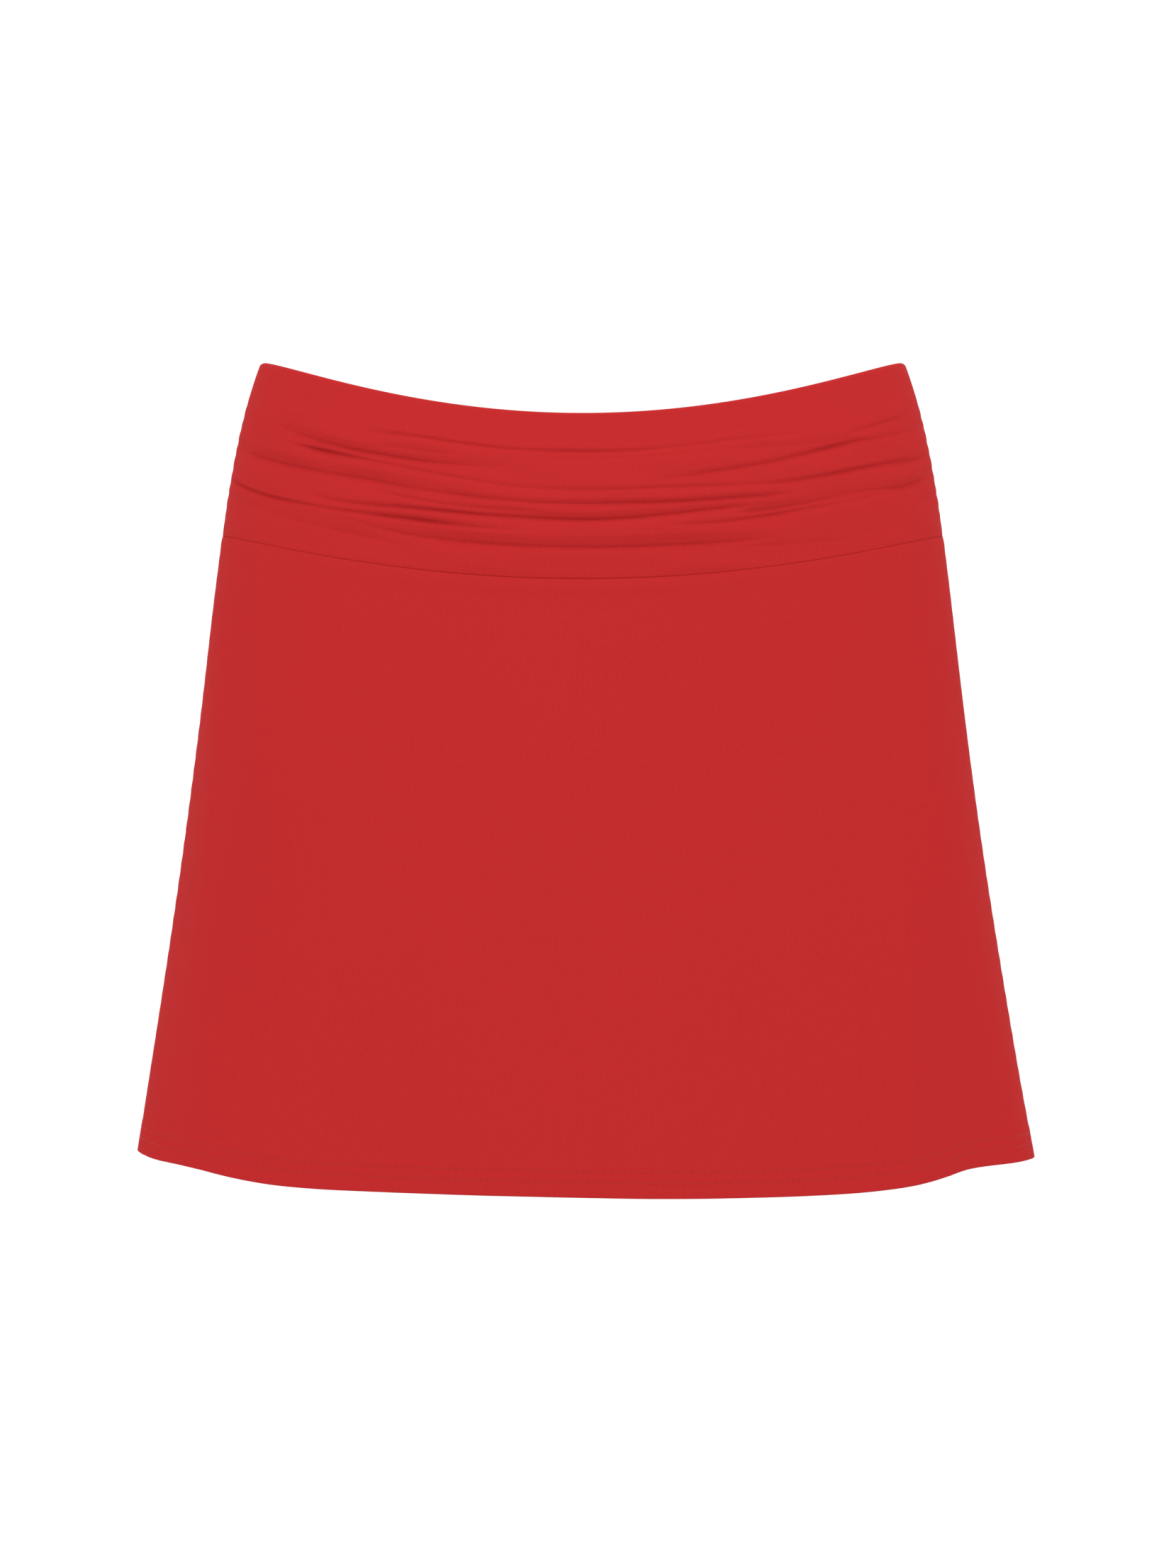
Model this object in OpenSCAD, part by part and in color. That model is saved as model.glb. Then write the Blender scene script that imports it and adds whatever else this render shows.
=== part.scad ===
// Pull-on swim skirt: A-line skirt of stretch knit on a deep, side-gathered waistband.
//
// It is modelled as worn. The origin is the centre of the waist opening, level with the tops
// of the side seams. +Z is up, -Y is the wearer's front and +X the wearer's left. Every piece
// of cloth, elastic, thread or label is a strip that follows the body of the skirt, so a place
// on the skirt is given by three numbers:
//   turn   angle round the body, 0 at centre front, 90 at the left side seam, 180 at the back
//   drop   distance below the top edge, measured at the side seams
//   depth  distance in from the outer face of the cloth

/* [Waist] */
// Width of the waist opening, side to side
waist_w = 302; // [270:1:340]
// Centre of the opening to the centre front edge
waist_front = 98; // [85:1:115]
// Centre of the opening to the centre back edge
waist_back = 112; // [95:1:130]
// How far the top edge dips at centre front
front_dip = 28; // [0:1:45]
// How far the top edge dips at centre back
back_dip = 21; // [0:1:45]

/* [Waistband] */
// Height of the waistband at the side seams
band_h = 81; // [55:1:110]
// Width of the elastic in the top edge
elastic_w = 12; // [8:1:20]
// Thickness of the elastic
elastic_t = 1.0; // [0.8:0.1:1.2]

/* [Skirt] */
// Length from the top edge to the hem at the side seams
skirt_l = 376; // [320:1:480]
// Extra half-width that the hips push out just below the waist
hip_ease = 10.5; // [4:0.5:16]
// Half-width gained for each millimetre of length
side_slope = 0.109; // [0.06:0.001:0.18]
// Extra slope of the flare below the hips
flare_slope = 0.058; // [0:0.002:0.12]
// Height of the cloth turned up at the hem
hem_h = 14; // [12:1:25]
// Distance between the two rows of hem stitches
stitch_gap = 5; // [4:0.5:6]

/* [Cloth] */
// Thickness of the outer knit
knit_t = 0.8; // [0.6:0.05:1]
// Thickness of the waistband lining
lining_t = 0.6; // [0.4:0.05:0.8]
// Air left between two layers
ply_gap = 0.15; // [0.1:0.05:0.2]

/* [Hidden] */
knit_red = [0.76, 0.17, 0.18];
lining_red = [0.68, 0.15, 0.16];
thread_red = [0.70, 0.14, 0.15];
elastic_white = [0.93, 0.92, 0.89];
tape_clear = [0.85, 0.87, 0.88];
label_white = [0.96, 0.96, 0.94];

// The body: half-width and half-depths of the skirt at a drop
hip_reach = 38;
flare_from = 245;
flare_soft = 30;
belly_ease = 8;
belly_reach = 50;
front_slope = 0.09;
seat_ease = 22;
seat_reach = 60;
back_slope = 0.04;
dip_sharpness = 2.15;

function settle(drop, reach) = 1 - exp(-max(drop, 0) / reach);
function half_width(drop) = waist_w / 2 + hip_ease * settle(drop, hip_reach)
    + side_slope * drop
    + flare_slope * flare_soft * ln(1 + exp((drop - flare_from) / flare_soft));
function half_depth_front(drop) = waist_front + belly_ease * settle(drop, belly_reach)
    + front_slope * drop;
function half_depth_back(drop) = waist_back + seat_ease * settle(drop, seat_reach)
    + back_slope * drop;

// Soft flutes of the hanging cloth: [turn, half-width in degrees, outward and down at the hem]
flute_from = 110;
flute_power = 1.6;
flutes = [
    [25, 33, 0, 2.5], [61, 13, -9, -3.5], [82, 15, 3, -4], [-62, 14, -4, -4.5], [-84, 14, 0, -7],
    [118, 14, -6, -2], [146, 15, 8, 2], [176, 15, -6, 0], [-150, 14, 7, 2], [-120, 14, -7, -2]
];
function turn_between(a, b) = ((a - b) % 360 + 540) % 360 - 180;
function flute_share(drop) = pow(max(drop - flute_from, 0) / (skirt_l - flute_from), flute_power);
function flute_sum(turn, k) = [for (f = flutes) f[k] * exp(-pow(turn_between(turn, f[0]) / f[1], 2))]
    * [for (f = flutes) 1];

// One point of the skirt, in millimetres
function place(turn, drop, depth) =
    let (
        front = cos(turn) > 0,
        a = half_width(drop),
        b = front ? half_depth_front(drop) : half_depth_back(drop),
        share = flute_share(drop),
        out = [sin(turn) / a, -cos(turn) / b] / norm([sin(turn) / a, cos(turn) / b]),
        reach = share * flute_sum(turn, 2) - depth,
        dip = (front ? front_dip : back_dip) * pow(abs(cos(turn)), dip_sharpness)
    )
    [
        a * sin(turn) + out[0] * reach,
        -b * cos(turn) + out[1] * reach,
        -drop - dip * (1 - drop / skirt_l) - share * flute_sum(turn, 3)
    ];

// A strip of material: outer and inner are its two faces in section, as [drop, depth] points of
// equal number, carried round the body from one turn to another in n steps.
module strip(outer, inner, from, to, n) {
    closed = to - from >= 360;
    columns = closed ? n : n + 1;
    m = len(outer);
    ring = 2 * m;
    section = concat(outer, [for (i = [m - 1:-1:0]) inner[i]]);
    points = [
        for (i = [0:columns - 1], p = section) place(from + (to - from) * i / n, p[0], p[1])
    ];
    walls = [
        for (i = [0:n - 1], j = [0:ring - 1])
            let (
                a = i * ring + j,
                b = i * ring + (j + 1) % ring,
                c = ((i + 1) % columns) * ring + (j + 1) % ring,
                d = ((i + 1) % columns) * ring + j
            )
            each [[a, c, b], [a, d, c]]
    ];
    last = (columns - 1) * ring;
    ends = closed ? [] : [
        for (j = [0:m - 2])
            let (a = j, b = j + 1, c = ring - 2 - j, d = ring - 1 - j)
            each [[a, b, c], [a, c, d], [last + a, last + c, last + b], [last + a, last + d, last + c]]
    ];
    polyhedron(points, concat(walls, ends));
}

// A plain flat strip between two drops and two depths
module flat_strip(drops, depths, from, to, n, rows = 1) {
    levels = [for (i = [0:rows]) drops[0] + (drops[1] - drops[0]) * i / rows];
    strip([for (s = levels) [s, depths[0]]], [for (s = levels) [s, depths[1]]], from, to, n);
}

// Layers of the waistband, from the outer face inwards, with the air round a row of thread
thread_air = 0.05;
elastic_at = knit_t + ply_gap;
stitching_at = elastic_at + elastic_t + thread_air;
stitching_t = 0.2;
lining_at = stitching_at + stitching_t + 2 * thread_air;
inside_at = lining_at + lining_t;

// Steps round half the body and round the whole of it, and the turns of the two side seams
half_steps = 44;
full_steps = 96;
left = 90;
right = 270;

// Half the slit left between two panels at a side seam, in degrees
seam_slit = 0.05;
seam_allowance = 7;

// Skirt panel: starts just below the waist seam and is turned up inside at the hem
module skirt_panel(from, to) {
    top = band_h + ply_gap;
    rows = 14;
    fold = 1;
    levels = [for (i = [0:rows]) top + (skirt_l - fold - top) * i / rows];
    turned = [skirt_l - 5, skirt_l - hem_h];
    back_face = 2 * knit_t + ply_gap;
    mid = back_face / 2;
    outer = concat(
        [for (s = levels) [s, 0]],
        [[skirt_l - 0.25, knit_t * 0.4], [skirt_l, mid], [skirt_l - 0.25, back_face - knit_t * 0.4]],
        [[skirt_l - fold, back_face]],
        [for (s = turned) [s, back_face]]
    );
    inner = concat(
        [for (s = levels) [s, knit_t]],
        [[skirt_l - 0.90, mid - 0.06], [skirt_l - 0.85, mid], [skirt_l - 0.90, mid + 0.06]],
        [[skirt_l - fold, knit_t + ply_gap]],
        [for (s = turned) [s, knit_t + ply_gap]]
    );
    strip(outer, inner, from + seam_slit, to - seam_slit, half_steps);
}

// Outer layer of the waistband: rolls over the elastic at the top, and its seam allowance
// hangs down behind the skirt panel
module waistband(from, to) {
    rows = 6;
    roll = 1.4;
    levels = [for (i = [0:rows]) roll + (band_h - 2 * roll) * i / rows];
    behind = knit_t + ply_gap;
    outer = concat(
        [[0.9, inside_at], [0.1, inside_at - 0.5], [-0.2, inside_at / 2], [0.1, 0.4]],
        [for (s = levels) [s, 0]],
        [[band_h, 0.2], [band_h, behind], [band_h + seam_allowance, behind]]
    );
    inner = concat(
        [[0.9, lining_at], [0.8, lining_at - 0.2], [0.7, inside_at / 2], [0.85, knit_t]],
        [for (s = levels) [s, knit_t]],
        [[band_h - 1.0, knit_t + 0.1], [band_h - 0.8, behind + knit_t]],
        [[band_h + seam_allowance, behind + knit_t]]
    );
    strip(outer, inner, from + seam_slit, to - seam_slit, half_steps);
}

// Lining of the waistband: from just under the rolled top edge to the end of the allowance
module waistband_lining(from, to) {
    roll_clear = 1.1;
    flat_strip([roll_clear, band_h + seam_allowance], [lining_at, inside_at],
        from + seam_slit, to - seam_slit, half_steps, rows = 7);
}

// Elastic loop that runs through the top edge
module elastic_loop() {
    top = 1.5;
    flat_strip([top, top + elastic_w], [elastic_at, elastic_at + elastic_t], 0, 360, full_steps);
}

// Row of thread that holds the elastic to the turned edge
module elastic_thread() {
    zigzag = 3;
    flat_strip([elastic_w / 2, elastic_w / 2 + zigzag], [stitching_at, stitching_at + stitching_t],
        0, 360, full_steps);
}

// The gathered length of a waistband side seam
gathers = [elastic_w + 3, band_h - 2];
gather_rows = 6;

// Clear elastic tape, sewn in stretched at a side seam so that it gathers the waistband
tape_t = 0.3;
module ruching_tape(side) {
    tape_turn = 1.6;
    flat_strip(gathers, [elastic_at, elastic_at + tape_t], side - tape_turn, side + tape_turn, 2,
        rows = gather_rows);
}

// Overlocked edge of a waistband side seam, between the two layers
module band_overlock(side) {
    flat_strip(gathers, [elastic_at + tape_t + thread_air, stitching_at + stitching_t],
        side - 1.4, side + 1.8, 2, rows = gather_rows);
}

// Overlock that binds the waistband, its lining and the skirt panels together
module waist_overlock() {
    thread = 0.4;
    face = inside_at + 2 * thread_air;
    flat_strip([band_h + 1, band_h + seam_allowance + 1], [face, face + thread], 0, 360, full_steps);
}

// Both seam allowances of a skirt side seam with their overlock, pressed to the back
module side_overlock(from, to) {
    thread = 0.2;
    flat_strip([band_h + seam_allowance + 2, skirt_l - hem_h - 1],
        [knit_t + ply_gap, 3 * knit_t + ply_gap + thread], from, to, 2, rows = 14);
}

// The two needle rows on the outside of the hem
upper_row = skirt_l - hem_h + 1.6;
module hem_needle_rows() {
    thread = 0.3;
    off = -0.02;
    for (s = [upper_row, upper_row + stitch_gap])
        flat_strip([s, s + thread], [off - thread, off], 0, 360, full_steps);
}

// The looper thread on the inside, which covers the raw edge
module hem_looper_row() {
    thread = 0.3;
    face = 2 * knit_t + ply_gap + 2 * thread_air;
    flat_strip([upper_row - 1, upper_row + stitch_gap + 1], [face, face + thread], 0, 360, full_steps);
}

// Small folded label on the lining at centre back, and the stitches that hold its upper edge
size_label_turn = 3.7;
size_label_at = inside_at + 0.15;
size_label_t = 0.6;
size_label_top = elastic_w + 4;
size_label_h = 16;
module size_label_loop() {
    flat_strip([size_label_top, size_label_top + size_label_h],
        [size_label_at, size_label_at + size_label_t],
        180 - size_label_turn, 180 + size_label_turn, 4, rows = 2);
}
module size_label_thread() {
    row = [size_label_top + 1.4, size_label_top + 1.8];
    face = size_label_at + size_label_t + 0.02;
    flat_strip(row, [face, face + 0.25], 180 - size_label_turn * 0.92,
        180 + size_label_turn * 0.92, 4);
}

// Care label of two plies, caught in the left side seam and hanging towards the back
module care_label_plies() {
    label_top = 150;
    label_h = 32;
    label_t = 0.4;
    face = 3 * knit_t + ply_gap + 0.5;
    flat_strip([label_top, label_top + label_h], [face, face + label_t], left + 0.3, left + 22, 8,
        rows = 3);
}

module front_skirt_panel() { color(knit_red) skirt_panel(right - 360, left); }
module back_skirt_panel() { color(knit_red) skirt_panel(left, right); }
module front_waistband() { color(knit_red) waistband(right - 360, left); }
module back_waistband() { color(knit_red) waistband(left, right); }
module front_waistband_lining() { color(lining_red) waistband_lining(right - 360, left); }
module back_waistband_lining() { color(lining_red) waistband_lining(left, right); }
module waist_elastic() { color(elastic_white) elastic_loop(); }
module elastic_stitching() { color(thread_red) elastic_thread(); }
module left_ruching_tape() { color(tape_clear) ruching_tape(left); }
module right_ruching_tape() { color(tape_clear) ruching_tape(right); }
module left_waistband_overlock() { color(thread_red) band_overlock(left); }
module right_waistband_overlock() { color(thread_red) band_overlock(right); }
module waist_seam_overlock() { color(thread_red) waist_overlock(); }
module left_side_overlock() { color(thread_red) side_overlock(left + 0.2, left + 3.8); }
module right_side_overlock() { color(thread_red) side_overlock(right - 3.8, right - 0.2); }
module hem_needle_stitches() { color(thread_red) hem_needle_rows(); }
module hem_looper_stitches() { color(thread_red) hem_looper_row(); }
module size_label() { color(label_white) size_label_loop(); }
module size_label_stitches() { color(label_white) size_label_thread(); }
module care_label() { color(label_white) care_label_plies(); }

front_skirt_panel();
back_skirt_panel();
front_waistband();
back_waistband();
front_waistband_lining();
back_waistband_lining();
waist_elastic();
elastic_stitching();
left_ruching_tape();
right_ruching_tape();
left_waistband_overlock();
right_waistband_overlock();
waist_seam_overlock();
left_side_overlock();
right_side_overlock();
hem_needle_stitches();
hem_looper_stitches();
size_label();
size_label_stitches();
care_label();
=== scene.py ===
"""Pull-on swim skirt: knit panels, side-gathered waistband, labels, seams and stitches.

A place on the skirt is given as in the CAD model: turn (degrees round the body, 0 at centre
front, 90 at the left side seam, 180 at centre back), drop (millimetres below the top edge) and
depth (millimetres in from the outer face of the cloth). Every piece is a cloth section, a strip
or a thread carried along those three, and place() turns them into metres in the row frame.
"""

import math

import bpy
import numpy as np
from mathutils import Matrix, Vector


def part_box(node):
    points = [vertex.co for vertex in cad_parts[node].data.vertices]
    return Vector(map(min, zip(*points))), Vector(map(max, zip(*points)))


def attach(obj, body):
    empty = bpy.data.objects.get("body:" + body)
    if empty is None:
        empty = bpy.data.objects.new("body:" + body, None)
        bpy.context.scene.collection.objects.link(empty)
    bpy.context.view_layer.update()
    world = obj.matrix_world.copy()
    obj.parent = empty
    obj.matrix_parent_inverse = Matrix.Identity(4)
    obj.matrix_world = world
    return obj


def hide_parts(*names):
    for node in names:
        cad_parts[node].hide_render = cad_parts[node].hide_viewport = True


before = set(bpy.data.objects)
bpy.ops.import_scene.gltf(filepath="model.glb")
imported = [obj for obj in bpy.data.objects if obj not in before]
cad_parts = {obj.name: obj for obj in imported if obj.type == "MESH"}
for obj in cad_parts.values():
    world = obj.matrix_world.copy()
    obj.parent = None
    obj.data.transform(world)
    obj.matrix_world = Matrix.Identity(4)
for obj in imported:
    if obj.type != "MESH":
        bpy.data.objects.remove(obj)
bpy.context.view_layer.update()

MM = 0.001

# ---------------------------------------------------------------- body of the skirt

# Sizes in millimetres, as in the CAD model. A reach is the drop over which an ease comes in, and a
# slope is millimetres outward for each millimetre of drop.
WAIST_W = 302
WAIST_FRONT = 98
WAIST_BACK = 112
FRONT_DIP = 28
BACK_DIP = 21
DIP_SHARPNESS = 2.15
BAND_H = 81
ELASTIC_W = 12
SKIRT_L = 376
HEM_H = 14
STITCH_GAP = 5
HIP_EASE, HIP_REACH = 10.5, 38
SIDE_SLOPE = 0.109
FLARE_SLOPE, FLARE_FROM, FLARE_SOFT = 0.058, 245, 30
BELLY_EASE, BELLY_REACH, FRONT_SLOPE = 8, 50, 0.09
SEAT_EASE, SEAT_REACH, BACK_SLOPE = 22, 60, 0.04

# Thickness of the layers, and how deep each layer lies
KNIT_T = 0.8
LINING_T = 0.6
PLY_GAP = 0.15
ALLOWANCE = 7
ELASTIC_T = 1.0
ELASTIC_AT = KNIT_T + PLY_GAP
STITCHING_AT = ELASTIC_AT + ELASTIC_T + 0.05
LINING_AT = STITCHING_AT + 0.3
INSIDE_AT = LINING_AT + LINING_T
HEM_TOP = SKIRT_L - HEM_H
HEM_ROW = HEM_TOP + 1.6
HEM_ROWS = (HEM_ROW, HEM_ROW + STITCH_GAP)

# Soft flutes of the hanging cloth, growing from a drop down to the hem. Each has its turn, its
# half-width in degrees, and how far the hem moves outward and down there, in millimetres.
FLUTE_FROM, FLUTE_POWER = 110, 1.6
FLUTES = [
    (25, 33, 0, 2.5), (61, 13, -9, -3.5), (82, 15, 3, -4), (-62, 14, -4, -4.5), (-84, 14, 0, -7),
    (118, 14, -6, -2), (146, 15, 8, 2), (176, 15, -6, 0), (-150, 14, 7, 2), (-120, 14, -7, -2),
]


def settle(drop, reach):
    """0 at the top edge, rising towards 1 over a few reaches."""
    return 1 - np.exp(-np.maximum(drop, 0) / reach)


def bell(x, reach):
    """1 where x is 0, falling to 0 a few reaches to either side."""
    return np.exp(-((x / reach) ** 2))


def turn_between(a, b):
    """Degrees from b to a, the short way round."""
    return (a - b + 540) % 360 - 180


def half_sizes(turn, drop):
    """Half-width and half-depth of the body at a turn and a drop, in millimetres."""
    flare = FLARE_SLOPE * FLARE_SOFT * np.log1p(np.exp((drop - FLARE_FROM) / FLARE_SOFT))
    a = WAIST_W / 2 + HIP_EASE * settle(drop, HIP_REACH) + SIDE_SLOPE * drop + flare
    front = WAIST_FRONT + BELLY_EASE * settle(drop, BELLY_REACH) + FRONT_SLOPE * drop
    back = WAIST_BACK + SEAT_EASE * settle(drop, SEAT_REACH) + BACK_SLOPE * drop
    return a, np.where(np.cos(np.radians(turn)) > 0, front, back)


def place(turn, drop, depth):
    """Points of the skirt in metres, as an array of (x, y, z)."""
    turn, drop, depth = np.broadcast_arrays(*[np.asarray(v, float) for v in (turn, drop, depth)])
    angle = np.radians(turn)
    s, c = np.sin(angle), np.cos(angle)
    a, b = half_sizes(turn, drop)
    share = (np.maximum(drop - FLUTE_FROM, 0) / (SKIRT_L - FLUTE_FROM)) ** FLUTE_POWER
    out = down = 0
    for at, width, outward, downward in FLUTES:
        bump = bell(turn_between(turn, at), width)
        out = out + outward * bump
        down = down + downward * bump
    length = np.hypot(s / a, c / b)
    reach = share * out - depth
    dip = np.where(c > 0, FRONT_DIP, BACK_DIP) * np.abs(c) ** DIP_SHARPNESS
    x = a * s + s / a / length * reach
    y = -b * c - c / b / length * reach
    z = -drop - dip * (1 - drop / SKIRT_L) - share * down
    return np.stack([x, y, z], axis=-1) * MM


# ---------------------------------------------------------------- folds and puckers


def ramp(x, low, high):
    """0 below low, 1 above high, smooth between."""
    t = np.clip((x - low) / (high - low), 0, 1)
    return t * t * (3 - 2 * t)


def curve_through(points, x):
    """Smooth curve through given (x, y) points, flat beyond its ends, with no overshoot."""
    px, py = (np.array(v, float) for v in zip(*points))
    slope = np.diff(py) / np.diff(px)
    inner = np.where(slope[:-1] * slope[1:] > 0, 2 * slope[:-1] * slope[1:], 0)
    inner = inner / np.where(slope[:-1] + slope[1:] == 0, 1, slope[:-1] + slope[1:])
    tangent = np.concatenate([[0], inner, [0]])
    x = np.clip(x, px[0], px[-1])
    k = np.clip(np.searchsorted(px, x) - 1, 0, len(px) - 2)
    h = px[k + 1] - px[k]
    t = (x - px[k]) / h
    return (
        (2 * t**3 - 3 * t**2 + 1) * py[k] + (t**3 - 2 * t**2 + t) * h * tangent[k]
        + (3 * t**2 - 2 * t**3) * py[k + 1] + (t**3 - t**2) * h * tangent[k + 1]
    )


# Creases of the waistband. Each has the height above it over which the cloth leans in, the length
# below it over which the cloth springs back, both in millimetres, and its points: a turn, a drop
# and how deep the crease is there.
FRONT_CREASES = [
    (2.6, 1.2, [(-43, 21, 0), (-36, 19.4, 0.5), (-28, 18.2, 0.9), (-20, 18.7, 0.9), (-10, 19.4, 0.7),
                (0, 19.4, 0.9), (8, 19.4, 0.9), (16, 19.1, 0.5), (25, 18.7, 0.5), (34, 19.9, 0.3),
                (42, 22, 0)]),
    (3.0, 1.5, [(-14, 22.8, 0), (-4, 22.8, 0.35), (8, 22.6, 0.35), (22, 22.6, 0.3), (32, 24.3, 0.3),
                (40, 26.6, 0.3), (48, 27.3, 0.3), (54, 27, 0)]),
    (4.6, 2.0, [(-66, 25, 0), (-60, 26.3, 0.6), (-54, 28.1, 1.1), (-46, 29.3, 1.7), (-37, 29.6, 2.0),
                (-29, 29.6, 1.8), (-22, 29.2, 1.1), (-15, 28.4, 0.4), (-8, 27.8, 0)]),
    (3.8, 2.0, [(-38, 25.6, 0), (-31, 24.8, 0.8), (-25, 24.4, 0.7), (-18, 24, 0)]),
    (2.4, 1.2, [(-58, 32.6, 0), (-53, 32.9, 0.9), (-47, 33.1, 1.8), (-41, 33.1, 1.2), (-34, 33.4, 0.6),
                (-26, 34.3, 0.6), (-18, 35.8, 0.5), (-10, 37.5, 0.4), (0, 37.9, 0.5), (10, 38, 0.55),
                (19, 39.2, 0.6), (27, 40.8, 0.4), (34, 42.4, 0.7), (42, 42.7, 1.0), (50, 42.8, 1.2),
                (58, 43.3, 0.9), (64, 43.6, 0.5), (70, 43.8, 0)]),
    (4.0, 2.2, [(54, 43.6, 0), (62, 44.4, 0.8), (70, 44.4, 1.3), (76, 43.8, 0.9), (82, 42.6, 0.35),
                (88, 41.5, 0)]),
    (2.8, 1.4, [(10, 34.3, 0), (16, 33.6, 0.4), (22, 32.7, 0.9), (30, 32.2, 0.9), (38, 31.2, 1.1),
                (45, 30.4, 1.5), (51, 30, 1.1), (57, 30.8, 0.7), (68, 31, 0.4), (80, 29.6, 0.25),
                (87, 28.8, 0)]),
    (2.2, 1.4, [(48, 25.5, 0), (53, 25.2, 0.5), (60, 24.6, 0.6), (66, 24, 0.4), (72, 22.2, 0.2),
                (78, 20.5, 0)]),
    (5.6, 3.0, [(-88, 36, 0), (-82, 38, 0.4), (-75, 40.8, 1.3), (-66, 42.6, 2.0), (-56, 43, 2.0),
                (-46, 42.8, 1.8), (-36, 42.3, 2.0), (-28, 43, 1.6), (-20, 43.6, 0.8), (-12, 44.2, 0)]),
    (2.8, 1.5, [(-26, 42.8, 0), (-18, 43.6, 0.7), (-6, 44.5, 0.9), (6, 44.7, 1.1), (15, 45.4, 1.3),
                (24, 46.2, 1.3), (31, 47.4, 1.0), (37, 48.2, 0)]),
    (2.5, 1.5, [(-38, 46, 0), (-30, 47.4, 0.7), (-20, 48.7, 0.7), (-10, 48.6, 0.4), (-4, 48.4, 0)]),
    (2.6, 1.4, [(-52, 53.5, 0), (-43, 54.7, 0.7), (-35, 53.7, 1.0), (-28, 52.4, 1.3), (-20, 51.9, 1.5),
                (-14, 52.1, 0.6), (-8, 52.3, 0)]),
    (4.4, 1.2, [(-20, 52, 0), (-13, 52, 1.0), (-6, 52.3, 1.8), (2, 52.5, 2.0), (8, 52.1, 1.9),
                (14, 51.3, 1.7), (20, 50.8, 1.7), (25, 50.8, 1.1), (28, 51, 0)]),
    (4.8, 2.4, [(22, 52.5, 0), (29, 54, 1.5), (36, 54, 1.5), (46, 53.4, 1.0), (54, 53.8, 1.0),
                (62, 55.4, 1.7), (68, 55.2, 1.7), (74, 53.6, 1.2), (80, 51.6, 0.5), (88, 49.5, 0)]),
    (1.5, 1.0, [(-89, 53.4, 0), (-82, 54.6, 0.5), (-75, 56.1, 0.9), (-67, 57.9, 0.9), (-59, 58.9, 0.9),
                (-50, 59, 0.6), (-42, 58.7, 0.4), (-34, 58, 0)]),
    (3.0, 1.2, [(-46, 58.6, 0), (-38, 58.3, 0.9), (-32, 57.9, 1.6), (-26, 57.6, 1.8), (-20, 57.9, 1.1),
                (-12, 58.3, 0.4), (-6, 58.4, 0)]),
    (5.8, 2.2, [(-42, 61.5, 0), (-34, 64, 0.8), (-26, 65.4, 1.5), (-18, 65.8, 1.8), (-8, 65.8, 1.9),
                (2, 65.9, 1.9), (12, 66.1, 1.8), (20, 66.8, 1.6), (26, 67.2, 1.0), (32, 67.8, 0)]),
    (2.8, 1.3, [(12, 56.2, 0), (18, 57, 0.7), (24, 57.3, 0.9), (31, 57, 1.2), (39, 56.7, 0.9),
                (47, 56.8, 0.5), (55, 56.4, 0.5), (61, 55.6, 0)]),
    (8.0, 6.0, [(20, 69.5, 0), (30, 71, 1.0), (40, 73, 0.8), (50, 75, 0)]),
    (8.0, 6.0, [(-80, 62, 0), (-66, 65, 0.7), (-52, 67, 0.8), (-36, 69, 1.0), (-22, 71, 0)]),
]
BACK_CREASES = [
    (3.5, 1.4, [(118, 19.5, 0), (140, 19, 0.6), (176, 19.6, 0.7), (212, 18.8, 0.6), (236, 20, 0)]),
    (4.0, 1.4, [(92, 31, 0), (98, 30.2, 0.6), (110, 28.8, 1.2), (126, 27.5, 1.7), (148, 27.4, 0.9),
                (170, 27, 0)]),
    (3.8, 1.3, [(182, 33.5, 0), (204, 32.4, 0.9), (228, 30.5, 1.6), (250, 27.6, 1.1), (262, 26, 0.6),
                (268, 25, 0)]),
    (4.5, 1.5, [(92, 42, 0), (98, 41.8, 0.6), (110, 41, 1.1), (134, 38.4, 1.5), (160, 37.4, 1.0),
                (188, 38.6, 0.7), (216, 40.4, 1.1), (246, 40, 1.3), (262, 38.4, 0.6), (268, 37.5, 0)]),
    (3.6, 1.4, [(92, 50, 0), (98, 49.8, 0.6), (108, 49.4, 1.2), (130, 50.4, 1.3), (156, 52.4, 1.8),
                (184, 51.6, 1.2), (208, 49.6, 0.7), (226, 49.3, 0)]),
    (3.6, 1.3, [(176, 58.8, 0), (196, 58.6, 1.1), (222, 57.4, 1.8), (248, 55.6, 1.2), (262, 54, 0.6),
                (268, 53, 0)]),
    (4.6, 1.5, [(96, 60.5, 0), (116, 62, 1.2), (142, 64.4, 1.6), (172, 65.6, 1.0), (196, 66, 0.4),
                (214, 65.5, 0)]),
    (4.0, 1.8, [(212, 67, 0), (232, 66.6, 0.9), (256, 66, 0.5), (268, 65.5, 0)]),
]

# A crease leans in by this power of the height, and has a narrow core. The core's depth is this
# weight over the crease's height, for each millimetre of the crease's depth.
LEAN_POWER = 1.15
CORE_REACH, CORE_WEIGHT = 0.9, 1.15

# Folds where the taped side seams pinch the waistband. Each has its drop, its depth, its reach
# along the band and its slant. A pinch nearly vanishes on the seam itself, which the tape holds.
SIDE_SEAMS = (-90, 90)
SIDE_PINCHES = [
    (19.5, 0.35, 16, -0.05), (25.5, 0.6, 24, 0.03), (31, 0.55, 15, -0.04), (37, 0.8, 26, 0.06),
    (43, 0.6, 17, -0.05), (49.5, 0.85, 24, 0.05), (55.5, 0.6, 18, 0.08), (61, 0.7, 26, 0.07),
    (67.5, 0.5, 18, 0.1), (73, 0.35, 12, 0.05),
]
PINCH_HALF_HEIGHT = 1.5
PINCH_HELD, PINCH_HELD_REACH = 0.96, 8
MM_PER_DEGREE = 2.0


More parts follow.
